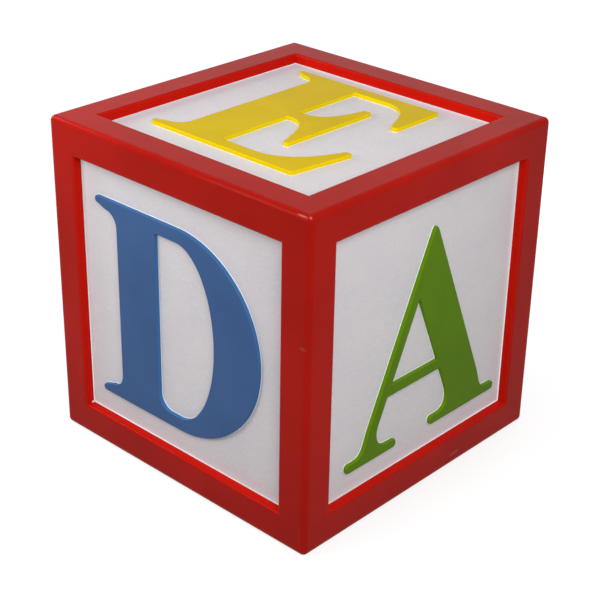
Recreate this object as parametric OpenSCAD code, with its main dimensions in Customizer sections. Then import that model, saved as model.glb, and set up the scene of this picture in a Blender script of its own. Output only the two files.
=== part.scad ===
// Large wooden alphabet block for display and play.
// A frame of four posts and eight rails holds six panels in grooves,
// and each panel carries one cut-out letter.
// The base lies on z = 0 and the block is centred on x and y.

/* [Frame] */
// Outer width, depth and height of the block
block_w = 610; // [560:5:680]
// Width of each post and rail, both ways
rail_w = 60.5; // [54:0.5:66]
// Radius of the outer edges and corners
edge_r = 10; // [8:0.5:18]
// Radius on the inner edges, round each opening
inner_edge_r = 4.5; // [1:0.5:6]

/* [Panels] */
// Depth of each panel's face behind the frame's face
panel_recess = 19; // [16:0.5:21]
// Thickness of each panel
panel_t = 12; // [9:0.5:13]
// How far a panel reaches into the groove of each rail
groove_depth = 10; // [7:0.5:12]
// Gap round a panel in its groove, on each side
groove_gap = 0.2; // [0.1:0.05:0.4]

/* [Letters] */
// Space left between the frame and the top and foot of a letter
letter_margin = 53; // [48:0.5:68]
// Thickness of the letters
letter_t = 7.5; // [6:0.5:9]
// Width of the upright strokes
stem_w = 98; // [88:1:106]
// Width of the round strokes at their widest
bowl_w = 104; // [94:1:110]
// Width of the level strokes
arm_w = 25; // [20:0.5:28]
// Width of the thick leg of the A, measured level
thick_leg_w = 90; // [80:1:98]
// Width of the thin leg and the bar of the A, measured level
thin_leg_w = 23; // [19:0.5:26]
// How far a serif reaches past its stem
serif_reach = 53; // [46:1:56]
// Thickness of a serif at its tip
serif_t = 13; // [12:0.5:16]
// Thickness of a serif where its hollow curve starts
serif_root_t = 20; // [17:0.5:24]
// Thickness of the two feet of the A
foot_t = 16; // [13.5:0.5:19]
// Radius of the hollow curve between a serif and its stem
bracket_r = 28; // [22:1:32]
// Radius of the rounded serif tips
tip_r = 6; // [3:0.5:6.5]
// How far back the corners of the arms of the E and F are rounded
corner_cut = 4; // [1:0.5:6]

/* [Letter screws] */
// Diameter of the screws that hold a letter from behind
letter_screw_d = 3.5; // [3:0.1:4.5]
// Diameter of their heads
letter_screw_head_d = 7; // [6:0.1:9]
// Thickness of their heads
letter_screw_head_t = 2.2; // [1.8:0.1:3]
// How far they reach into the letter
letter_screw_grip = 5; // [4:0.1:5.5]

/* [Dowels] */
// Diameter of the frame dowels
dowel_d = 10; // [8:0.5:12]
// Length of the frame dowels
dowel_len = 50; // [40:1:54]
// Distance between the two dowels of a joint
dowel_pitch = 24; // [20:0.5:26]
// Glue gap round a dowel
dowel_gap = 0.1; // [0.05:0.05:0.2]
// Free depth past each end of a dowel
dowel_end_gap = 1; // [0.5:0.1:2]

/* [Glue blocks] */
// Leg of the triangular glue blocks in the corners
block_leg = 70; // [60:1:90]
// Wood left under each screw head
screw_seat = 12; // [10:0.5:14]
// Diameter of the glue block screws
block_screw_d = 4; // [3.5:0.1:5]
// Diameter of their heads
block_screw_head_d = 8; // [7:0.1:10]
// Thickness of their heads
block_screw_head_t = 2.6; // [2:0.1:3.5]
// How far they reach into the rail
block_screw_grip = 22; // [18:1:26]
// Gap round every screw in its hole
screw_gap = 0.15; // [0.1:0.05:0.3]

/* [Hidden] */
$fn = 64;

// Cuts run this far past the solids that they open
overrun = 2;

half_w = block_w / 2;
opening_w = block_w - 2 * rail_w;
panel_w = opening_w + 2 * groove_depth;
panel_back = panel_recess + panel_t;
letter_h = opening_w - 2 * letter_margin;

// Turns that carry the top face's layout to each face, with the face's own x to
// the right and its y up as a reader in front of it sees them
front_turn = [90, 0, 0];
right_turn = [90, 0, 90];
back_turn = [90, 0, 180];
left_turn = [90, 0, 270];
top_turn = [0, 0, 0];
bottom_turn = [180, 0, 0];
face_turns = [front_turn, right_turn, back_turn, left_turn, top_turn, bottom_turn];

frame_red = [0.70, 0.11, 0.08];
panel_white = [0.86, 0.84, 0.86];
letter_blue = [0.26, 0.40, 0.62];
letter_green = [0.33, 0.50, 0.09];
letter_yellow = [0.85, 0.72, 0.15];
bare_wood = [0.80, 0.66, 0.45];
steel = [0.62, 0.63, 0.65];

// Places its children on a face: z = 0 is the frame's outer face and z points out
module on_face(turn) {
  translate([0, 0, half_w]) rotate(turn) translate([0, 0, half_w]) children();
}

// The top half of the frame is the bottom half turned over
module in_top_half() {
  translate([0, 0, block_w]) mirror([0, 0, 1]) children();
}

module both_ends() {
  children();
  in_top_half() children();
}

module left_and_right() {
  children();
  mirror([1, 0, 0]) children();
}

module front_and_back() {
  children();
  mirror([0, 1, 0]) children();
}

// Square bar section with one rounded corner at its origin
module bar_section() {
  translate([edge_r, 0]) square([rail_w - edge_r, rail_w]);
  translate([0, edge_r]) square([rail_w, rail_w - edge_r]);
  translate([edge_r, edge_r]) circle(edge_r);
}

// Flare that eases the inner edge of the frame round one opening
module flare_section() {
  reach = opening_w / 2 + inner_edge_r;
  difference() {
    translate([-reach, -inner_edge_r]) square([2 * reach, inner_edge_r + overrun]);
    for (side = [-1, 1])
      translate([side * reach, -inner_edge_r]) circle(inner_edge_r);
  }
}

module opening_flare() {
  length = opening_w + 4 * inner_edge_r;
  intersection() {
    rotate([90, 0, 0]) linear_extrude(length, center = true) flare_section();
    rotate([90, 0, 90]) linear_extrude(length, center = true) flare_section();
  }
}

// Space that a panel takes up in the grooves
module panel_slot() {
  slot_w = panel_w + 2 * groove_gap;
  translate([-slot_w / 2, -slot_w / 2, -panel_back])
    cube([slot_w, slot_w, panel_t]);
}

// One cut for the grooves and eased edges of all six faces
module face_cuts(turns) {
  for (turn = turns) {
    on_face(turn) panel_slot();
    on_face(turn) opening_flare();
  }
}

// Dowels of one rail end, in the joint of the front bottom rail and the front left
// post. They lie in the outer half of the bars, clear of the dowels that cross them.
dowel_inset = (rail_w - dowel_len / 2) / 2;
dowel_middle = (rail_w - groove_depth) / 2;

module joint_dowels(radius, length) {
  for (side = [-1, 1])
    translate([rail_w - half_w, dowel_inset - half_w, dowel_middle + side * dowel_pitch / 2])
      rotate([0, 90, 0]) cylinder(h = length, r = radius, center = true);
}

module joint_dowel_holes() {
  joint_dowels(dowel_d / 2 + dowel_gap, dowel_len + 2 * dowel_end_gap);
}

module swap_xy() {
  mirror([1, -1, 0]) children();
}

// Rounded end of a post, which turns the round edges into a ball corner
module post_end() {
  translate([edge_r - half_w, edge_r - half_w, 0]) {
    cube([rail_w - edge_r, rail_w - edge_r, edge_r]);
    translate([0, 0, edge_r]) {
      sphere(edge_r);
      rotate([0, 90, 0]) cylinder(h = rail_w - edge_r, r = edge_r);
      rotate([-90, 0, 0]) cylinder(h = rail_w - edge_r, r = edge_r);
    }
  }
}

// Corner post, drawn at the front left corner and turned to its own
module post(quarter) {
  color(frame_red) rotate([0, 0, 90 * quarter]) difference() {
    union() {
      translate([-half_w, -half_w, edge_r])
        linear_extrude(block_w - 2 * edge_r) bar_section();
      both_ends() post_end();
    }
    face_cuts([front_turn, left_turn, bottom_turn, top_turn]);
    both_ends() {
      joint_dowel_holes();
      swap_xy() joint_dowel_holes();
    }
  }
}

// Glue block screw of the front left corner, driven along y into the bottom rail.
// Its head lies just under the slope of the block.
screw_inset = block_leg - screw_seat - block_screw_head_t - block_screw_head_d / 2;
block_t = rail_w - panel_back;

module on_block_screw_axis() {
  translate([rail_w + screw_inset - half_w, rail_w - half_w, panel_back + block_t / 2])
    rotate([-90, 0, 0]) children();
}

module block_screw() {
  on_block_screw_axis() {
    translate([0, 0, -block_screw_grip])
      cylinder(h = block_screw_grip + screw_seat, d = block_screw_d);
    translate([0, 0, screw_seat]) cylinder(h = block_screw_head_t, d = block_screw_head_d);
  }
}

module block_screw_hole() {
  on_block_screw_axis() {
    translate([0, 0, -block_screw_grip - screw_gap])
      cylinder(h = block_screw_grip + screw_gap + block_leg, d = block_screw_d + 2 * screw_gap);
    translate([0, 0, screw_seat])
      cylinder(h = block_leg, d = block_screw_head_d + 2 * screw_gap);
  }
}

// Triangular block glued behind the panel in a corner of the bottom frame
module glue_block(quarter) {
  color(bare_wood) rotate([0, 0, 90 * quarter]) difference() {
    translate([rail_w - half_w, rail_w - half_w, panel_back])
      linear_extrude(block_t) polygon([[0, 0], [block_leg, 0], [0, block_leg]]);
    block_screw_hole();
    swap_xy() block_screw_hole();
  }
}

module glue_block_screws() {
  color(steel) both_ends() for (quarter = [0:3]) rotate([0, 0, 90 * quarter]) {
    block_screw();
    swap_xy() block_screw();
  }
}

// Rail between two posts, drawn at the bottom of the front and turned to its side
module rail(quarter) {
  color(frame_red) rotate([0, 0, 90 * quarter]) difference() {
    translate([-opening_w / 2, -half_w, 0])
      rotate([90, 0, 90]) linear_extrude(opening_w) bar_section();
    face_cuts([front_turn, bottom_turn]);
    left_and_right() {
      joint_dowel_holes();
      block_screw_hole();
    }
  }
}

// Dowels of the two front rails, or of the two back rails when turned by 180
module frame_dowels(turn) {
  color(bare_wood) rotate([0, 0, turn])
    both_ends() left_and_right() joint_dowels(dowel_d / 2, dowel_len);
}

// Dowels of the four rails that run from front to back
module cross_rail_dowels() {
  color(bare_wood) both_ends() left_and_right() front_and_back() swap_xy()
    joint_dowels(dowel_d / 2, dowel_len);
}

// Outlines of the letters, drawn round the middle of each letter

// Distance between the points of a long arc, fewest steps in a short one, steps along a
// freer curve and round a corner
arc_chord = 9;
arc_steps = 8;
blend_steps = 16;
corner_steps = 4;
// Turns sharper than this are corners, and the rest belong to a curve
corner_turn = 35;

// Points on an ellipse round a centre, from one angle to another
function arc(centre, radii, from, to) =
  let (
    length = PI * max(radii) * abs(to - from) / 180,
    count = max(arc_steps, ceil(length / arc_chord))
  )
  [for (i = [0:count])
    let (a = from + (to - from) * i / count)
    centre + [radii[0] * cos(a), radii[1] * sin(a)]];

function round_arc(centre, radius, from, to) = arc(centre, [radius, radius], from, to);

// Points on a smooth curve from a to d that leaves towards b and arrives from c
function blend(a, b, c, d) =
  [for (i = [0:blend_steps])
    let (t = i / blend_steps, s = 1 - t)
    s * s * s * a + 3 * s * s * t * b + 3 * s * t * t * c + t * t * t * d];

// The same curve, with its four points counted from a root in shares of the letter's height
function share_blend(root, shares) = blend(
  root + letter_h * shares[0], root + letter_h * shares[1],
  root + letter_h * shares[2], root + letter_h * shares[3]
);
function from_root(root, shares) = [for (share = shares) root + letter_h * share];

// An outline with its corners rounded off, each as far as the sides beside it allow
function turn_at(before, after) = acos(-before * after / norm(before) / norm(after));
function round_corner(corner, before, after) =
  let (
    cut = min(corner_cut, norm(before) / 2, norm(after) / 2),
    from = cut * before / norm(before),
    to = cut * after / norm(after)
  )
  [for (i = [0:corner_steps])
    let (t = i / corner_steps, s = 1 - t)
    corner + s * s * from + t * t * to];
function rounded(points) =
  [for (i = [0:len(points) - 1])
    let (
      before = points[(i + len(points) - 1) % len(points)] - points[i],
      after = points[(i + 1) % len(points)] - points[i],
      is_corner = turn_at(before, after) > corner_turn
    )
    each is_corner ? round_corner(points[i], before, after) : [points[i]]];

function backwards(points) = [for (i = [len(points) - 1:-1:0]) points[i]];
function flip_x(points) = backwards([for (p = points) [-p[0], p[1]]]);
function flip_y(points) = backwards([for (p = points) [p[0], -p[1]]]);

half_h = letter_h / 2;

// Rounded tip of a serif that points left, at the foot, from its underside round to its top
function left_tip(tip_x, thickness) = concat(
  round_arc([tip_x + tip_r, tip_r - half_h], tip_r, 270, 180),
  round_arc([tip_x + tip_r, thickness - tip_r - half_h], tip_r, 180, 96)
);
function right_tip(tip_x, thickness) = flip_x(left_tip(-tip_x, thickness));

// Serif at the left foot of a stem, from its underside round the tip to the stem
function left_foot(stem_x) = concat(
  left_tip(stem_x - serif_reach, serif_t),
  round_arc([stem_x - bracket_r, serif_root_t + bracket_r - half_h], bracket_r, 270, 360)
);
function right_foot(stem_x) = flip_x(left_foot(-stem_x));

// Letter D: a stem with two serifs and a round bowl
d_stem_share = -0.395;
d_bowl_share = -0.008;

module outline_d() {
  stem_x = d_stem_share * letter_h;
  bowl_x = d_bowl_share * letter_h;
  counter_x = stem_x + stem_w;
  counter_h = half_h - arm_w;
  corner_r = min(bracket_r, bowl_x - counter_x);
  difference() {
    polygon(concat(
      left_foot(stem_x),
      flip_y(left_foot(stem_x)),
      round_arc([bowl_x, 0], half_h, 90, -90)
    ));
    polygon(concat(
      [[counter_x, counter_h]],
      arc([bowl_x, 0], [half_h - bowl_w, counter_h], 90, -90),
      round_arc([counter_x + corner_r, corner_r - counter_h], corner_r, 270, 180)
    ));
  }
}

// Letter A: a thin leg, a thick leg and a level bar
// The run of each leg's slope, as a share of its rise
a_thin_run_share = 0.457;
a_thick_run_share = 0.431;
a_peak_share = 0.022;
// The pointed top stands a little higher than a flat letter's
a_over_share = 0.012;
// The straight sides would meet above the rounded tip, which starts this far below
a_round_share = 0.074;
a_bar_share = -0.217;
a_bar_w_share = 0.87;
// How far the feet reach past the sides of the legs, at their outer and inner ends
a_outer_reach_share = 0.071;
a_thin_reach_share = 0.201;
a_thick_reach_share = 0.174;
a_foot_flat_share = 0.05;
a_bracket_rise_share = 0.126;
a_bracket_pull_share = 0.55;

a_round = a_round_share * letter_h;
a_peak_y = half_h + a_over_share * letter_h + a_round / 4;
function a_thin_x(y) = a_peak_share * letter_h - a_thin_run_share * (a_peak_y - y);
function a_thick_x(y) = a_peak_share * letter_h + a_thick_run_share * (a_peak_y - y);

// Hollow curve from the top of a foot up to a leg whose side leans by run
function a_bracket(tip_x, hand, top_x, run) =
  let (
    foot_y = foot_t - half_h,
    rise = a_bracket_rise_share * letter_h,
    pull = a_bracket_pull_share * rise,
    from = [tip_x + hand * a_foot_flat_share * letter_h, foot_y],
    to = [top_x, foot_y + rise]
  )
  blend(from, from + [hand * pull, 0], to - pull * [run, 1], to);

module outline_a() {
  thin_x = a_thin_x(-half_h);
  thick_x = a_thick_x(-half_h);
  tips = [
    thin_x - a_outer_reach_share * letter_h,
    thin_x + thin_leg_w + a_thin_reach_share * letter_h,
    thick_x - thick_leg_w - a_thick_reach_share * letter_h,
    thick_x + a_outer_reach_share * letter_h
  ];
  lean_y = foot_t - half_h + a_bracket_rise_share * letter_h;
  bar_y = a_bar_share * letter_h;
  bar_top = bar_y + a_bar_w_share * thin_leg_w;
  round_y = a_peak_y - a_round;
  peak = [a_peak_share * letter_h, a_peak_y];
  // Where the inner sides of the two legs cross
  inner_gap = thick_leg_w + thin_leg_w;
  cross_y = a_peak_y - inner_gap / (a_thin_run_share + a_thick_run_share);
  difference() {
    polygon(concat(
      left_tip(tips[0], foot_t),
      a_bracket(tips[0], 1, a_thin_x(lean_y), a_thin_run_share),
      blend([a_thin_x(round_y), round_y], peak, peak, [a_thick_x(round_y), round_y]),
      backwards(a_bracket(tips[3], -1, a_thick_x(lean_y), -a_thick_run_share)),
      right_tip(tips[3], foot_t),
      left_tip(tips[2], foot_t),
      a_bracket(tips[2], 1, a_thick_x(lean_y) - thick_leg_w, -a_thick_run_share),
      [[a_thick_x(bar_y) - thick_leg_w, bar_y], [a_thin_x(bar_y) + thin_leg_w, bar_y]],
      backwards(a_bracket(tips[1], -1, a_thin_x(lean_y) + thin_leg_w, a_thin_run_share)),
      right_tip(tips[1], foot_t)
    ));
    polygon([
      [a_thin_x(bar_top) + thin_leg_w, bar_top],
      [a_thin_x(cross_y) + thin_leg_w, cross_y],
      [a_thick_x(bar_top) - thick_leg_w, bar_top]
    ]);
  }
}

// Arms of the E and F: curves from the level part of an arm to the tip of its spur,
// counted from the arm's root on the side of the stem
e_stem_share = -0.317;
top_arm_shares = [[0.217, 0], [0.335, -0.013], [0.369, -0.118], [0.419, -0.234]];
top_spur_share = 0.456;
middle_arm_share = 0.0125;
middle_arm_w_share = 1.14;
middle_over_shares = [[0.027, 0], [0.133, 0], [0.169, 0.082], [0.198, 0.224]];
middle_spur_shares = [[0.201, 0.229], [0.244, 0.229], [0.239, -0.326], [0.214, -0.326]];
middle_under_shares = [[0.033, 0], [0.138, -0.012], [0.164, -0.133], [0.209, -0.243]];
bottom_arm_shares = [[0.217, 0], [0.362, 0.013], [0.435, 0.131], [0.481, 0.26]];
bottom_spur_shares = [[0.483, 0.266], [0.522, 0.266]];
bottom_heel_share = 0.475;

// The middle arm, from the stem above it round the spur to the stem below it
function middle_arm(inner_x) =
  let (
    middle_y = middle_arm_share * letter_h,
    half_arm = middle_arm_w_share * arm_w / 2,
    over = [inner_x, middle_y + half_arm],
    under = [inner_x, middle_y - half_arm]
  )
  concat(
    [over],
    share_blend(over, middle_over_shares),
    from_root(over, middle_spur_shares),
    backwards(share_blend(under, middle_under_shares)),
    [under]
  );

// The stem's left side with both serifs, then the top arm down to the stem
function stem_and_top_arm(stem_x) =
  let (
    root = [stem_x + stem_w, half_h - arm_w],
    spur_x = root[0] + top_spur_share * letter_h,
    arm = share_blend(root, top_arm_shares),
    spur_y = arm[blend_steps][1]
  )
  concat(
    left_foot(stem_x),
    flip_y(left_foot(stem_x)),
    [[spur_x, half_h], [spur_x, spur_y]],
    backwards(arm),
    [root]
  );

module outline_e() {
  stem_x = e_stem_share * letter_h;
  inner_x = stem_x + stem_w;
  root = [inner_x, arm_w - half_h];
  polygon(rounded(concat(
    stem_and_top_arm(stem_x),
    middle_arm(inner_x),
    round_arc(root + [tip_r, tip_r], tip_r, 180, 270),
    share_blend(root, bottom_arm_shares),
    from_root(root, bottom_spur_shares),
    [[inner_x + bottom_heel_share * letter_h, -half_h]]
  )));
}

module outline_f() {
  stem_x = e_stem_share * letter_h;
  inner_x = stem_x + stem_w;
  polygon(rounded(concat(stem_and_top_arm(stem_x), middle_arm(inner_x), right_foot(inner_x))));
}

// Letter B: a stem with two serifs and two bowls, the lower one larger
b_stem_share = -0.36;
b_bowl_share = 0.02;
b_waist_share = 0.03;
// How far each counter reaches past the middle of its bowl
b_upper_counter_share = 0.016;
b_lower_counter_share = 0.086;

module outline_b() {
  stem_x = b_stem_share * letter_h;
  bowl_x = b_bowl_share * letter_h;
  waist = b_waist_share * letter_h;
  upper = (half_h - waist + arm_w / 2) / 2;
  lower = (half_h + waist + arm_w / 2) / 2;
  upper_counter_x = b_upper_counter_share * letter_h;
  lower_counter_x = b_lower_counter_share * letter_h;
  difference() {
    union() {
      polygon(concat(
        left_foot(stem_x),
        flip_y(left_foot(stem_x)),
        [[bowl_x, half_h], [bowl_x, -half_h]]
      ));
      polygon(arc([bowl_x, half_h - upper], [upper_counter_x + bowl_w, upper], 90, -90));
      polygon(arc([bowl_x, lower - half_h], [lower_counter_x + bowl_w, lower], 90, -90));
    }
    b_counter(stem_x + stem_w, bowl_x, half_h - upper, [upper_counter_x, upper - arm_w]);
    b_counter(stem_x + stem_w, bowl_x, lower - half_h, [lower_counter_x, lower - arm_w]);
  }
}

module b_counter(left_x, bowl_x, middle_y, radii) {
  polygon(concat(
    [[left_x, middle_y - radii[1]], [left_x, middle_y + radii[1]]],
    arc([bowl_x, middle_y], radii, 90, -90)
  ));
}

// Letter C: a round stroke that thins to the top and foot and ends in a spur and a tail
c_round_share = -0.03;
c_width_share = 0.46;
c_stroke_share = 0.86;
c_hollow_share = 0.035;
c_spur_shares = [[0.3, 0.046], [0.34, 0.046], [0.34, -0.284], [0.31, -0.284]];
c_spur_curve_shares = [[0.31, -0.284], [0.28, -0.124], [0.165, -0.004], [0, 0]];
c_tail_shares = [[0, 0], [0.165, 0.004], [0.275, 0.104], [0.31, 0.264]];
c_tail_end_shares = [[0.375, 0.32], [0.34, 0.12], [0.18, 0], [-0.03, 0]];

module outline_c() {
  centre = [c_round_share * letter_h, 0];
  radius = c_width_share * letter_h;
  hollow = [c_hollow_share * letter_h, 0];
  hollow_h = half_h - arm_w;
  hollow_w = hollow[0] - centre[0] + radius - c_stroke_share * bowl_w;
  top = hollow + [0, hollow_h];
  foot = hollow - [0, hollow_h];
  polygon(concat(
    arc(centre, [radius, half_h], 270, 90),
    from_root(top, c_spur_shares),
    share_blend(top, c_spur_curve_shares),
    arc(hollow, [hollow_w, hollow_h], 90, 270),
    share_blend(foot, c_tail_shares),
    share_blend([0, -half_h], c_tail_end_shares)
  ));
}

// Each letter's middle on its face and its screws, as shares of the letter's height
d_middle_shares = [-0.001, -0.018];
a_middle_shares = [0.0205, -0.0265];
e_middle_shares = [-0.039, 0.039];
b_middle_shares = [0.03, -0.01];
c_middle_shares = [0.015, -0.005];
f_middle_shares = [-0.01, 0.005];
d_screw_shares = [[-0.266, 0.36], [-0.266, -0.36], [0.355, 0]];
a_screw_shares = [[0.02, 0.36], [0.26, -0.3], [-0.35, -0.44]];
e_screw_shares = [[-0.19, 0.36], [-0.19, -0.36], [0.1, 0.01], [0.37, -0.4]];
b_screw_shares = [[-0.23, 0.36], [-0.23, -0.36], [0.24, -0.23]];
c_screw_shares = [[-0.36, 0], [0.2, 0.45], [0.12, -0.46]];
f_screw_shares = [[-0.19, 0.36], [-0.19, -0.36], [0.1, 0.01]];

// Screw driven from inside through the panel into the back of the letter
module letter_screw(extra, end_gap) {
  translate([0, 0, -panel_t - end_gap])
    cylinder(h = panel_t + letter_screw_grip + 2 * end_gap, r = letter_screw_d / 2 + extra);
}

module at_screws(middle_shares, screw_shares) {
  for (place = screw_shares)
    translate(concat(letter_h * (middle_shares + place), -panel_recess)) children();
}

module letter(turn, colour, middle_shares, screw_shares) {
  color(colour) on_face(turn) difference() {
    translate(concat(letter_h * middle_shares, -panel_recess))
      linear_extrude(letter_t) children();
    at_screws(middle_shares, screw_shares) letter_screw(screw_gap, screw_gap);
  }
}

module panel(turn, middle_shares, screw_shares) {
  color(panel_white) on_face(turn) difference() {
    translate([-panel_w / 2, -panel_w / 2, -panel_back]) cube([panel_w, panel_w, panel_t]);
    at_screws(middle_shares, screw_shares) letter_screw(screw_gap, overrun);
  }
}

module letter_screws(turn, middle_shares, screw_shares) {
  color(steel) on_face(turn) at_screws(middle_shares, screw_shares) {
    letter_screw(0, 0);
    translate([0, 0, -panel_t - letter_screw_head_t])
      cylinder(h = letter_screw_head_t, d = letter_screw_head_d);
  }
}

module all_letter_screws() {
  letter_screws(front_turn, d_middle_shares, d_screw_shares);
  letter_screws(right_turn, a_middle_shares, a_screw_shares);
  letter_screws(back_turn, b_middle_shares, b_screw_shares);
  letter_screws(left_turn, c_middle_shares, c_screw_shares);
  letter_screws(top_turn, e_middle_shares, e_screw_shares);
  letter_screws(bottom_turn, f_middle_shares, f_screw_shares);
}

post(0);  // front_left_post
post(1);  // front_right_post
post(2);  // back_right_post
post(3);  // back_left_post
rail(0);  // front_bottom_rail
rail(1);  // right_bottom_rail
rail(2);  // back_bottom_rail
rail(3);  // left_bottom_rail
in_top_half() rail(0);  // front_top_rail
in_top_half() rail(1);  // right_top_rail
in_top_half() rail(2);  // back_top_rail
in_top_half() rail(3);  // left_top_rail
panel(front_turn, d_middle_shares, d_screw_shares);  // front_panel
panel(right_turn, a_middle_shares, a_screw_shares);  // right_panel
panel(back_turn, b_middle_shares, b_screw_shares);  // back_panel
panel(left_turn, c_middle_shares, c_screw_shares);  // left_panel
panel(top_turn, e_middle_shares, e_screw_shares);  // top_panel
panel(bottom_turn, f_middle_shares, f_screw_shares);  // bottom_panel
letter(front_turn, letter_blue, d_middle_shares, d_screw_shares) outline_d();  // letter_d
letter(right_turn, letter_green, a_middle_shares, a_screw_shares) outline_a();  // letter_a
letter(back_turn, letter_yellow, b_middle_shares, b_screw_shares) outline_b();  // letter_b
letter(left_turn, letter_green, c_middle_shares, c_screw_shares) outline_c();  // letter_c
letter(top_turn, letter_yellow, e_middle_shares, e_screw_shares) outline_e();  // letter_e
letter(bottom_turn, letter_blue, f_middle_shares, f_screw_shares) outline_f();  // letter_f
all_letter_screws();  // letter_screws
glue_block(0);  // front_left_bottom_block
glue_block(1);  // front_right_bottom_block
glue_block(2);  // back_right_bottom_block
glue_block(3);  // back_left_bottom_block
in_top_half() glue_block(0);  // front_left_top_block
in_top_half() glue_block(1);  // front_right_top_block
in_top_half() glue_block(2);  // back_right_top_block
in_top_half() glue_block(3);  // back_left_top_block
glue_block_screws();
frame_dowels(0);  // front_frame_dowels
frame_dowels(180);  // back_frame_dowels
cross_rail_dowels();
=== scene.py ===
# Large wooden alphabet block: a red frame of posts and rails, white panels set back in it
# and a cut-out letter on each panel, put together in the order of the sections below.
from math import radians

import bmesh
import bpy
from mathutils import Matrix, Vector


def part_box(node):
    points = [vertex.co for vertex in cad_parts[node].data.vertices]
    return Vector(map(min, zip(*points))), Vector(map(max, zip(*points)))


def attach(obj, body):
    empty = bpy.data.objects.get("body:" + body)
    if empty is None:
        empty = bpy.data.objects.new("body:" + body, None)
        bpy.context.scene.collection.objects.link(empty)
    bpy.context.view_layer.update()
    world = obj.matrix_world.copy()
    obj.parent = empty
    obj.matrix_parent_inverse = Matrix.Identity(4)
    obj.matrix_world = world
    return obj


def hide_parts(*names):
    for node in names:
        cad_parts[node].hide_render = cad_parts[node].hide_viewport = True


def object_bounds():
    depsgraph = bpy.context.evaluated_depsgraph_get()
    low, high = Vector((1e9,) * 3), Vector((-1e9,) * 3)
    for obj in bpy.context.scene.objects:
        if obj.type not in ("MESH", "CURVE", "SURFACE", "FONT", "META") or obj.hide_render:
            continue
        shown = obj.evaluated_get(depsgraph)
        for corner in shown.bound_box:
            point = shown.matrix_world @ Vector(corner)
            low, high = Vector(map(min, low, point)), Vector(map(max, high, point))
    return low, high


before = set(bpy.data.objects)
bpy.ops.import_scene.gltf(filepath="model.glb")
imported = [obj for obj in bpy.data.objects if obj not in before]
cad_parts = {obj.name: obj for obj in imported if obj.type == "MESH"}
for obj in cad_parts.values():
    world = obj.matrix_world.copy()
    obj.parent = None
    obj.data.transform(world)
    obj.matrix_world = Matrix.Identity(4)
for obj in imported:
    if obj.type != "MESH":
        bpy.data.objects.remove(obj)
cad_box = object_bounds()


# Dowels: round beech pins glued into the ends of the rails and into the posts.
# They are inside the joints, so nothing of them shows. The grain runs along each pin.

def new_finish(name):
    """A new material, its node tree, its shader and the piece's own coordinates."""
    material = bpy.data.materials.new(name)
    material.use_nodes = True
    tree = material.node_tree
    shader = tree.nodes["Principled BSDF"]
    place = tree.nodes.new("ShaderNodeTexCoord").outputs["Object"]
    return material, tree, shader, place


def noise(tree, place, size, detail=3.0, roughness=0.5, stretch=(1, 1, 1)):
    """Noise whose lumps are about size metres across."""
    scaled = tree.nodes.new("ShaderNodeVectorMath")
    scaled.operation = "MULTIPLY"
    scaled.inputs[1].default_value = stretch
    tree.links.new(place, scaled.inputs[0])
    made = tree.nodes.new("ShaderNodeTexNoise")
    made.inputs["Scale"].default_value = 1 / size
    made.inputs["Detail"].default_value = detail
    made.inputs["Roughness"].default_value = roughness
    tree.links.new(scaled.outputs[0], made.inputs["Vector"])
    return made.outputs["Fac"]


def spread(tree, value, low, high, to_low=0.0, to_high=1.0):
    """Carries a value from the range low to high to another range."""
    made = tree.nodes.new("ShaderNodeMapRange")
    for socket, number in zip(list(made.inputs)[1:5], (low, high, to_low, to_high)):
        socket.default_value = number
    tree.links.new(value, made.inputs["Value"])
    return made.outputs["Result"]


def blend_colours(tree, share, first, second):
    """Mixes two colours, each a tuple or another node's output."""
    made = tree.nodes.new("ShaderNodeMix")
    made.data_type = "RGBA"
    for socket, colour in ((made.inputs["A"], first), (made.inputs["B"], second)):
        if isinstance(colour, tuple):
            socket.default_value = (*colour, 1)
        else:
            tree.links.new(colour, socket)
    tree.links.new(share, made.inputs["Factor"])
    return made.outputs["Result"]


def raise_surface(tree, shader, heights):
    """Bumps from pairs of a height from 0 to 1 and its depth in metres."""
    normal = None
    for height, depth in heights:
        bump = tree.nodes.new("ShaderNodeBump")
        bump.inputs["Distance"].default_value = depth
        tree.links.new(height, bump.inputs["Height"])
        if normal:
            tree.links.new(normal, bump.inputs["Normal"])
        normal = bump.outputs["Normal"]
    tree.links.new(normal, shader.inputs["Normal"])


def turned_beech():
    material, tree, shader, place = new_finish("turned_beech")
    pale_beech = (0.56, 0.37, 0.20)
    dark_beech = (0.42, 0.25, 0.12)
    grain = noise(tree, place, 0.004, detail=5, roughness=0.6, stretch=(0.2, 0.2, 1))
    flecks = noise(tree, place, 0.0012, detail=2)
    colour = blend_colours(tree, grain, dark_beech, pale_beech)
    tree.links.new(colour, shader.inputs["Base Color"])
    tree.links.new(spread(tree, flecks, 0, 1, 0.5, 0.7), shader.inputs["Roughness"])
    raise_surface(tree, shader, [(flecks, 0.0001)])
    return material


def dress(node, material):
    """Gives a CAD node its finish."""
    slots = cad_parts[node].material_slots
    for slot in slots:
        slot.material = material


beech = turned_beech()
for node in ("front_frame_dowels", "back_frame_dowels", "cross_rail_dowels"):
    dress(node, beech)


# Posts and rails: square bars with rounded outer edges, painted with red gloss enamel after
# gluing, so that the joints are filled and one skin of paint runs over them. There is a chip
# by the front edge and a scuff low on the right. A pale streak and dot at the front top corner
# and a pale dot in the front recess are painted highlights, and the recess walls are painted
# a lighter red as painted light.

block_low, block_high = cad_box
block_w = block_high.x - block_low.x
half_w = block_w / 2
opening_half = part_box("front_bottom_rail")[1].x


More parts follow.
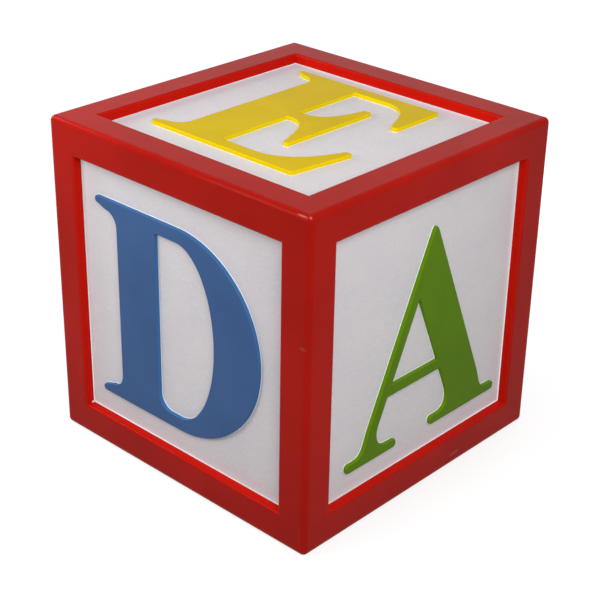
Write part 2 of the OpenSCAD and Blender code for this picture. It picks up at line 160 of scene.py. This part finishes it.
def near(tree, place, point, reach, stretch=(1, 1, 1)):
    """1 at a point, falling to 0 at reach metres from it."""
    offset = tree.nodes.new("ShaderNodeVectorMath")
    offset.operation = "SUBTRACT"
    offset.inputs[1].default_value = point
    tree.links.new(place, offset.inputs[0])
    scaled = tree.nodes.new("ShaderNodeVectorMath")
    scaled.operation = "MULTIPLY"
    scaled.inputs[1].default_value = stretch
    tree.links.new(offset.outputs[0], scaled.inputs[0])
    length = tree.nodes.new("ShaderNodeVectorMath")
    length.operation = "LENGTH"
    tree.links.new(scaled.outputs[0], length.inputs[0])
    return spread(tree, length.outputs["Value"], 0, reach, 1, 0)


def combine(tree, operation, first, second):
    """A calculation on two values, each a number or the output of another node."""
    made = tree.nodes.new("ShaderNodeMath")
    made.operation = operation
    for socket, value in zip(made.inputs, (first, second)):
        if isinstance(value, (int, float)):
            socket.default_value = value
        else:
            tree.links.new(value, socket)
    return made.outputs[0]


def distances(tree, place):
    """How far a point is from the block's middle, out of its face and along the face."""
    centred = tree.nodes.new("ShaderNodeVectorMath")
    centred.operation = "SUBTRACT"
    centred.inputs[1].default_value = (0, 0, half_w)
    tree.links.new(place, centred.inputs[0])
    unsigned = tree.nodes.new("ShaderNodeVectorMath")
    unsigned.operation = "ABSOLUTE"
    tree.links.new(centred.outputs[0], unsigned.inputs[0])
    split = tree.nodes.new("ShaderNodeSeparateXYZ")
    tree.links.new(unsigned.outputs[0], split.inputs[0])
    x, y, z = split.outputs
    nearer = combine(tree, "MINIMUM", x, y)
    further = combine(tree, "MAXIMUM", x, y)
    outward = combine(tree, "MAXIMUM", further, z)
    sideways = combine(tree, "MAXIMUM", nearer, combine(tree, "MINIMUM", further, z))
    return outward, sideways


def scuffs(tree, place):
    """The share of rubbed paint in the chip by the front edge and the scuff low on the right."""
    chip_at = (half_w - 0.0116, -half_w, 0.635 * block_w)
    chip_strength = 0.5
    chip = near(tree, place, chip_at, reach=0.008, stretch=(0.8, 0.8, 1.8))
    chipped = combine(tree, "MULTIPLY", chip, chip_strength)
    scuff_at = (half_w, 0.153 * block_w, 0.036 * block_w)
    scuff = near(tree, place, scuff_at, reach=0.018, stretch=(1, 1, 4))
    streaks = noise(tree, place, 0.006, detail=4, roughness=0.7, stretch=(1, 1, 4))
    streaked = spread(tree, streaks, 0.4, 0.6, 0.2, 0.9)
    scuffed = combine(tree, "MULTIPLY", spread(tree, scuff, 0, 0.5), streaked)
    return combine(tree, "ADD", chipped, scuffed)


def top_corner_painted_glint(tree, place):
    """The share of painted highlight at the front top corner: a glint along the edge and a dot.
    """
    glint_streak_at = (half_w - 0.019, -half_w + 0.0023, block_w - 0.0037)
    glint_streak = near(tree, place, glint_streak_at, reach=0.013, stretch=(1, 7, 7))
    dot_at = (half_w - 0.0047, -half_w + 0.0047, block_w - 0.0033)
    dot = near(tree, place, dot_at, reach=0.0026)
    return spread(tree, combine(tree, "MAXIMUM", glint_streak, dot), 0, 0.6)


def recess_corner_painted_glint(tree, place):
    """The share of painted highlight, a pale dot in the lower left corner of the front recess."""
    recess_glint_at = (-opening_half, 0.015 - half_w, half_w - opening_half)
    return spread(tree, near(tree, place, recess_glint_at, reach=0.0035), 0, 0.5)


def red_enamel():
    material, tree, shader, place = new_finish("red_enamel")
    bright_red = (0.395, 0.0075, 0.003)
    deep_red = (0.345, 0.006, 0.002)
    recess_painted_light_red = (0.53, 0.007, 0.002)
    rubbed_red = (0.38, 0.08, 0.057)
    # The next two colours are painted highlights: a glint at the front top corner and a dot in
    # the front recess.
    painted_glint_pale = (0.5, 0.12, 0.12)
    panel_paint = (0.85, 0.75, 0.72)
    recess_blend = 0.003
    clouds = noise(tree, place, 0.16)
    colour = blend_colours(tree, spread(tree, clouds, 0.35, 0.65), deep_red, bright_red)
    _, along_face = distances(tree, place)
    # Painted light: the walls inside the recesses take a lighter red that stands in for the
    # stronger light on them.
    recess = spread(tree, along_face, opening_half, opening_half + recess_blend, 1, 0)
    colour = blend_colours(tree, recess, colour, recess_painted_light_red)
    colour = blend_colours(tree, scuffs(tree, place), colour, rubbed_red)
    # Painted highlight: a pale glint streak and dot at the front top corner.
    colour = blend_colours(tree, top_corner_painted_glint(tree, place), colour, painted_glint_pale)
    # Painted highlight: a pale dot in the lower left corner of the front recess.
    colour = blend_colours(tree, recess_corner_painted_glint(tree, place), colour, panel_paint)
    tree.links.new(colour, shader.inputs["Base Color"])

    shader.inputs["Specular IOR Level"].default_value = 0.035
    smears = noise(tree, place, 0.05, detail=4, roughness=0.6)
    tree.links.new(spread(tree, smears, 0.3, 0.7, 0.07, 0.14), shader.inputs["Roughness"])
    orange_peel = noise(tree, place, 0.006, detail=2)
    sanding_waves = noise(tree, place, 0.045, detail=2)
    raise_surface(tree, shader, [(sanding_waves, 0.0006), (orange_peel, 0.00004)])
    return material


frame_red = red_enamel()
corners = ("front_left", "front_right", "back_right", "back_left")
sides = ("front", "right", "back", "left")
for corner in corners:
    dress(f"{corner}_post", frame_red)
for side in sides:
    dress(f"{side}_bottom_rail", frame_red)
    dress(f"{side}_top_rail", frame_red)


# Glue blocks: unpainted pine triangles glued and screwed behind the top and bottom panels,
# in the corners of the two frames. The saw left their faces rough.

def sawn_pine():
    material, tree, shader, place = new_finish("sawn_pine")
    early_wood = (0.66, 0.47, 0.25)
    late_wood = (0.46, 0.27, 0.11)
    rings = tree.nodes.new("ShaderNodeTexWave")
    rings.inputs["Scale"].default_value = 30
    rings.inputs["Distortion"].default_value = 4
    rings.inputs["Detail"].default_value = 2
    tree.links.new(place, rings.inputs["Vector"])
    colour = blend_colours(tree, rings.outputs["Fac"], early_wood, late_wood)
    tree.links.new(colour, shader.inputs["Base Color"])
    saw_marks = noise(tree, place, 0.002, roughness=0.6, stretch=(1, 4, 1))
    tree.links.new(spread(tree, saw_marks, 0, 1, 0.6, 0.85), shader.inputs["Roughness"])
    raise_surface(tree, shader, [(saw_marks, 0.0003)])
    return material


pine = sawn_pine()
for corner in corners:
    dress(f"{corner}_bottom_block", pine)
    dress(f"{corner}_top_block", pine)


# Glue block screws: countersunk steel screws with a zinc plating. Two are driven through
# each glue block, one into each rail of its corner.

def zinc_plate():
    material, tree, shader, place = new_finish("zinc_plate")
    bright_zinc = (0.66, 0.67, 0.69)
    dull_zinc = (0.48, 0.49, 0.51)
    spangle = noise(tree, place, 0.0015)
    colour = blend_colours(tree, spangle, dull_zinc, bright_zinc)
    tree.links.new(colour, shader.inputs["Base Color"])
    shader.inputs["Metallic"].default_value = 1
    tree.links.new(spread(tree, spangle, 0, 1, 0.25, 0.45), shader.inputs["Roughness"])
    raise_surface(tree, shader, [(spangle, 0.00003)])
    return material


zinc = zinc_plate()
dress("glue_block_screws", zinc)


# Panels: birch plywood boards held in the grooves of the frame, painted white with a short
# foam roller that left a fine stipple all over and a faint cloudiness. A band along the frame
# is painted lighter and bluer: painted light that lifts the shade and the red bounce there.

def rolled_white():
    material, tree, shader, place = new_finish("rolled_white")
    cool_white = (0.62, 0.60, 0.635)
    warm_white = (0.70, 0.66, 0.67)
    painted_light_border_white = (0.73, 0.77, 0.82)
    painted_light_border_w = 0.014
    clouds = noise(tree, place, 0.09, detail=4, roughness=0.6)
    stipple = noise(tree, place, 0.0045, roughness=0.6)
    cloud_share = spread(tree, clouds, 0.35, 0.65, 0, 0.4)
    stipple_share = spread(tree, stipple, 0.3, 0.7, 0, 0.6)
    mottle = combine(tree, "ADD", cloud_share, stipple_share)
    colour = blend_colours(tree, mottle, cool_white, warm_white)
    _, along_face = distances(tree, place)
    # Painted light: a lighter, bluer band along the frame, where the frame's shade and red bounce
    # would fall.
    painted_light_border_share = spread(tree, along_face, opening_half - painted_light_border_w, opening_half)
    colour = blend_colours(tree, painted_light_border_share, colour, painted_light_border_white)
    tree.links.new(colour, shader.inputs["Base Color"])
    shader.inputs["Specular IOR Level"].default_value = 0.12
    roller_laps = noise(tree, place, 0.03, detail=2, stretch=(1, 1, 3))
    tree.links.new(spread(tree, stipple, 0.3, 0.7, 0.45, 0.62), shader.inputs["Roughness"])
    raise_surface(tree, shader, [(roller_laps, 0.0004), (stipple, 0.0008)])
    return material


panel_white = rolled_white()
for side in (*sides, "top", "bottom"):
    dress(f"{side}_panel", panel_white)


# Panel beads: a thin line of white filler that closes the joint between each panel and the
# frame. It is wiped to a hollow round with a fingertip, finer on top, and painted too.

TURNS = {
    "front": (90, 0, 0), "right": (90, 0, 90), "back": (90, 0, 180), "left": (90, 0, 270),
    "top": (0, 0, 0), "bottom": (180, 0, 0),
}


def face_matrix(face):
    """Carries a face's own layout, with z out of the face, to its place on the block."""
    about_x, about_y, about_z = (Matrix.Rotation(radians(angle), 4, axis)
                                 for angle, axis in zip(TURNS[face], "XYZ"))
    middle = Matrix.Translation((0, 0, half_w))
    return middle @ about_z @ about_y @ about_x @ middle


def add_piece(name, mesh_maker, material, slot, *replaced):
    """Makes a piece from a bmesh that rides on the block."""
    mesh = bpy.data.meshes.new(name)
    mesh_maker.to_mesh(mesh)
    mesh_maker.free()
    mesh.materials.append(material)
    piece = bpy.data.objects.new(name, mesh)
    bpy.context.scene.collection.objects.link(piece)
    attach(piece, "root")
    if replaced:
        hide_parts(*replaced)
    return piece


def filler_white():
    material, tree, shader, place = new_finish("filler_white")
    cool_filler = (0.76, 0.83, 0.86)
    clean_filler = (0.80, 0.84, 0.87)
    smears = noise(tree, place, 0.02)
    colour = blend_colours(tree, smears, cool_filler, clean_filler)
    tree.links.new(colour, shader.inputs["Base Color"])
    tree.links.new(spread(tree, smears, 0.3, 0.7, 0.28, 0.42), shader.inputs["Roughness"])
    ripples = noise(tree, place, 0.004, detail=2)
    raise_surface(tree, shader, [(ripples, 0.0003)])
    return material


def bead_along(maker, loop, outward, size):
    """A closed bead, size wide and high, round a loop of points at the foot of a wall.

    outward holds each point's mitred way off the wall. The bead's back and underside are sunk
    a little into the wall and the panel, and its front is hollow.
    """
    sink = 0.15 * size
    hollow = [(1, 0.06), (0.45, 0.2), (0.15, 0.5), (0.06, 1)]
    front = [(across * size, high * size) for across, high in hollow]
    profile = [(-sink, -sink), (size, -sink), *front, (-sink, size)]
    up = Vector((0, 0, 1))
    rings = []
    for point, away in zip(loop, outward):
        rings.append([maker.verts.new(point + away * across + up * high)
                      for across, high in profile])
    for ring, following in zip(rings, rings[1:] + rings[:1]):
        count = len(ring)
        for step in range(count):
            corner = (step + 1) % count
            face = maker.faces.new((ring[step], ring[corner], following[corner], following[step]))
            face.smooth = 2 <= step <= 4
    bmesh.ops.recalc_face_normals(maker, faces=maker.faces)


bead_white = filler_white()
panel_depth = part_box("front_panel")[0].y - block_low.y
for face in TURNS:
    bead_size = 0.0008 if face == "top" else 0.0015
    bead = bmesh.new()
    square = [Vector((x * opening_half, y * opening_half, -panel_depth))
              for x, y in ((-1, -1), (1, -1), (1, 1), (-1, 1))]
    inward = [Vector((-point.x, -point.y, 0)) / opening_half for point in square]
    bead_along(bead, square, inward, bead_size)
    bead.transform(face_matrix(face))
    add_piece(f"{face}_panel_bead", bead, bead_white, "panel_paint")


# Letters: cut from thin board with a router, edges eased with sandpaper, sprayed with gloss
# enamel and screwed to the panels from inside. Their walls and eased edges are painted a
# lighter colour, as painted light for the light they catch. A fine bead of white paint closes
# each foot, the finest on top.

letter_front = -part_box("letter_d")[0].y


def letter_enamel(name, colour, deep_colour, painted_light_wall_colour, shine):
    material, tree, shader, place = new_finish(name)
    clouds = noise(tree, place, 0.12)
    mixed = blend_colours(tree, spread(tree, clouds, 0.35, 0.65), deep_colour, colour)
    outward, _ = distances(tree, place)
    edge_blend = 0.0005
    face_level = letter_front - 0.0001
    # Painted light: the walls and eased edges below the face take the lighter colour.
    painted_light_wall_share = spread(tree, outward, face_level - edge_blend, face_level, 1, 0)
    mixed = blend_colours(tree, painted_light_wall_share, mixed, painted_light_wall_colour)
    tree.links.new(mixed, shader.inputs["Base Color"])
    shader.inputs["Specular IOR Level"].default_value = shine
    smears = noise(tree, place, 0.04, detail=4, roughness=0.6)
    tree.links.new(spread(tree, smears, 0.3, 0.7, 0.08, 0.15), shader.inputs["Roughness"])
    orange_peel = noise(tree, place, 0.005, detail=2)
    board_waves = noise(tree, place, 0.06, detail=2)
    raise_surface(tree, shader, [(board_waves, 0.0005), (orange_peel, 0.00003)])
    return material


# The third colour of each letter is the painted light on its walls and eased edges.
blue = letter_enamel(
    "blue_enamel", (0.050, 0.114, 0.270), (0.043, 0.102, 0.246), (0.046, 0.155, 0.37), 0.035)
green = letter_enamel(
    "green_enamel", (0.102, 0.211, 0.004), (0.092, 0.193, 0.003), (0.122, 0.262, 0.003), 0.025)
yellow = letter_enamel(
    "yellow_enamel", (0.67, 0.47, 0.004), (0.62, 0.43, 0.003), (0.79, 0.60, 0.002), 0.015)

eased_edge = 0.0013
same_level = 1e-5


def flat_copy(node, turn_back):
    """The node's mesh in its face's own layout, with its flat faces whole again."""
    maker = bmesh.new()
    maker.from_mesh(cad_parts[node].data)
    maker.transform(turn_back)
    weld_reach = 1e-6
    flat_angle = 0.002
    bmesh.ops.remove_doubles(maker, verts=maker.verts, dist=weld_reach)
    bmesh.ops.dissolve_limit(
        maker, angle_limit=flat_angle, verts=maker.verts, edges=maker.edges, delimit=set())
    return maker


def outline_loops(maker, foot_z, front_z):
    """The loops of points round the letter at the panel, with each point's way outward."""
    def level(vert, z):
        return abs(vert.co.z - z) < same_level

    following = {}
    for edge in maker.edges:
        if not all(level(vert, foot_z) for vert in edge.verts):
            continue
        walls = [face for face in edge.link_faces
                 if abs(face.normal.z) < 0.1 and any(level(v, front_z) for v in face.verts)]
        if not walls:
            continue
        along = edge.verts[1].co - edge.verts[0].co
        outward = walls[0].normal
        left_to_right = along.cross(outward).z > 0
        first, second = edge.verts if left_to_right else reversed(edge.verts)
        following[first] = (second, outward.copy())
    loops = []
    while following:
        vert, (ahead, outward) = following.popitem()
        loop = [(vert, outward)]
        while ahead in following:
            vert = ahead
            ahead, outward = following.pop(vert)
            loop.append((vert, outward))
        points = [vert.co.copy() for vert, _ in loop]
        ways = []
        for (_, before), (_, after) in zip(loop[-1:] + loop[:-1], loop):
            middle = (before + after).normalized()
            ways.append(middle / max(middle.dot(after), 0.5))
        loops.append((points, ways))
    return loops


def fit_letter(letter, face, colour_name, material, slot, bead_size=0.0008):
    node = f"letter_{letter}"
    to_place = face_matrix(face)
    maker = flat_copy(node, to_place.inverted())
    heights = [vert.co.z for vert in maker.verts]
    foot_z, front_z = min(heights), max(heights)
    bead = bmesh.new()
    for points, ways in outline_loops(maker, foot_z, front_z):
        bead_along(bead, points, ways, bead_size)
    bead.transform(to_place)
    add_piece(f"letter_{letter}_bead", bead, bead_white, "panel_paint")

    rim = [edge for edge in maker.edges
           if all(abs(vert.co.z - front_z) < same_level for vert in edge.verts)]
    bmesh.ops.bevel(
        maker, geom=rim, offset=eased_edge, segments=3, profile=0.5, affect="EDGES",
        clamp_overlap=True)
    maker.transform(to_place)
    piece = add_piece(f"{colour_name}_letter_{letter}", maker, material, slot, node)
    piece.data.set_sharp_from_angle(angle=0.6)
    out_of_face = to_place.to_3x3() @ Vector((0, 0, 1))
    for polygon in piece.data.polygons:
        if abs(polygon.normal.dot(out_of_face)) > 0.999:
            polygon.use_smooth = False


fit_letter("d", "front", "blue", blue, "blue_paint")
fit_letter("a", "right", "green", green, "green_paint")
fit_letter("b", "back", "yellow", yellow, "yellow_paint")
fit_letter("c", "left", "green", green, "green_paint")
fit_letter("e", "top", "yellow", yellow, "yellow_paint", bead_size=0.0005)
fit_letter("f", "bottom", "blue", blue, "blue_paint")


# Letter screws: short countersunk steel screws with a zinc plating. They are driven from
# inside, through the panels into the backs of the letters, so no head shows in front.

dress("letter_screws", zinc)


# Floor: a wide sheet of white studio paper that keeps the soft shadow under the block.
# Where the camera or a reflection looks at it, it is lifted to the backdrop's white.

def seen_directly(tree):
    """1 for rays from the camera, or off a gloss or through glass, and 0 for the rest."""
    rays = tree.nodes.new("ShaderNodeLightPath").outputs
    from_gloss = combine(tree, "MAXIMUM", rays["Is Glossy Ray"], rays["Is Transmission Ray"])
    return combine(tree, "MAXIMUM", rays["Is Camera Ray"], from_gloss)


def white_paper():
    material, tree, shader, place = new_finish("white_paper")
    tree.nodes.remove(shader)
    output = tree.nodes["Material Output"]
    paper = tree.nodes.new("ShaderNodeBsdfDiffuse")
    paper.inputs["Color"].default_value = (0.36, 0.36, 0.36, 1)
    lift = tree.nodes.new("ShaderNodeEmission")
    beside_block = near(tree, place, (0, 0, 0), reach=2.2)
    glow = spread(tree, beside_block, 0, 1, 0.95, 0.66)
    shown = combine(tree, "MULTIPLY", seen_directly(tree), glow)
    tree.links.new(shown, lift.inputs["Strength"])
    both = tree.nodes.new("ShaderNodeAddShader")
    tree.links.new(paper.outputs[0], both.inputs[0])
    tree.links.new(lift.outputs[0], both.inputs[1])
    tree.links.new(both.outputs[0], output.inputs["Surface"])
    return material


floor_half = 12.0
floor_mesh = bpy.data.meshes.new("studio_floor")
floor_mesh.from_pydata(
    [(x * floor_half, y * floor_half, 0) for x, y in ((-1, -1), (1, -1), (1, 1), (-1, 1))],
    [], [(0, 1, 2, 3)])
floor_mesh.materials.append(white_paper())
floor = bpy.data.objects.new("studio_floor", floor_mesh)
bpy.context.scene.collection.objects.link(floor)


# Light: a large soft box up on the right front, a wide one overhead, three small weak ones
# near the front, left and right faces, one close behind the back, and an even white room.

def soft_box(name, direction, distance, width, power):
    lamp = bpy.data.lights.new(name, "AREA")
    lamp.shape = "SQUARE"
    lamp.size = width
    lamp.energy = power
    box = bpy.data.objects.new(name, lamp)
    away = Vector(direction).normalized()
    box.location = Vector((0, 0, half_w)) + away * distance
    box.rotation_euler = away.to_track_quat("Z", "Y").to_euler()
    bpy.context.scene.collection.objects.link(box)


soft_box("key_box", (0.646, -0.487, 0.588), distance=4.5, width=2.0, power=100)
soft_box("ceiling_box", (0.03, -0.02, 1.0), distance=2.4, width=1.4, power=11.3)
soft_box("front_box", (-0.27, -0.84, 0.47), distance=1.4, width=0.7, power=6.7)
soft_box("left_box", (-0.803, -0.324, 0.5), distance=1.3, width=0.5, power=5)
soft_box("right_box", (0.85, -0.15, 0.5), distance=1.3, width=0.8, power=3.6)
soft_box("back_box", (-0.1, 0.95, 0.1), distance=1.6, width=0.8, power=5)

room = bpy.data.worlds.new("white_room")
room.use_nodes = True
bpy.context.scene.world = room
backdrop = room.node_tree.nodes["Background"]
backdrop.inputs["Color"].default_value = (1, 1, 1, 1)
room_light = 0.2
brightness = spread(room.node_tree, seen_directly(room.node_tree), 0, 1, room_light, 1.0)
room.node_tree.links.new(brightness, backdrop.inputs["Strength"])


# Camera: a little below a standing adult's eyes and a little left of the line through the
# block's front edge. Its place and its three directions are fitted to the block's edges.

camera_data = bpy.data.cameras.new("camera")
camera_data.sensor_width = 36
camera_data.lens = 87.5
camera = bpy.data.objects.new("camera", camera_data)
camera.location = (1.6065, -1.7358, 1.4646)
right = Vector((0.72905, 0.68426, 0.01658))
down = Vector((0.32228, -0.32180, -0.89027))
ahead = Vector((-0.60383, 0.65440, -0.45513))
axes = Matrix((right, -down, -ahead)).transposed()
camera.rotation_euler = axes.to_euler()
bpy.context.scene.collection.objects.link(camera)
bpy.context.scene.camera = camera

bpy.context.scene.view_settings.view_transform = "Standard"
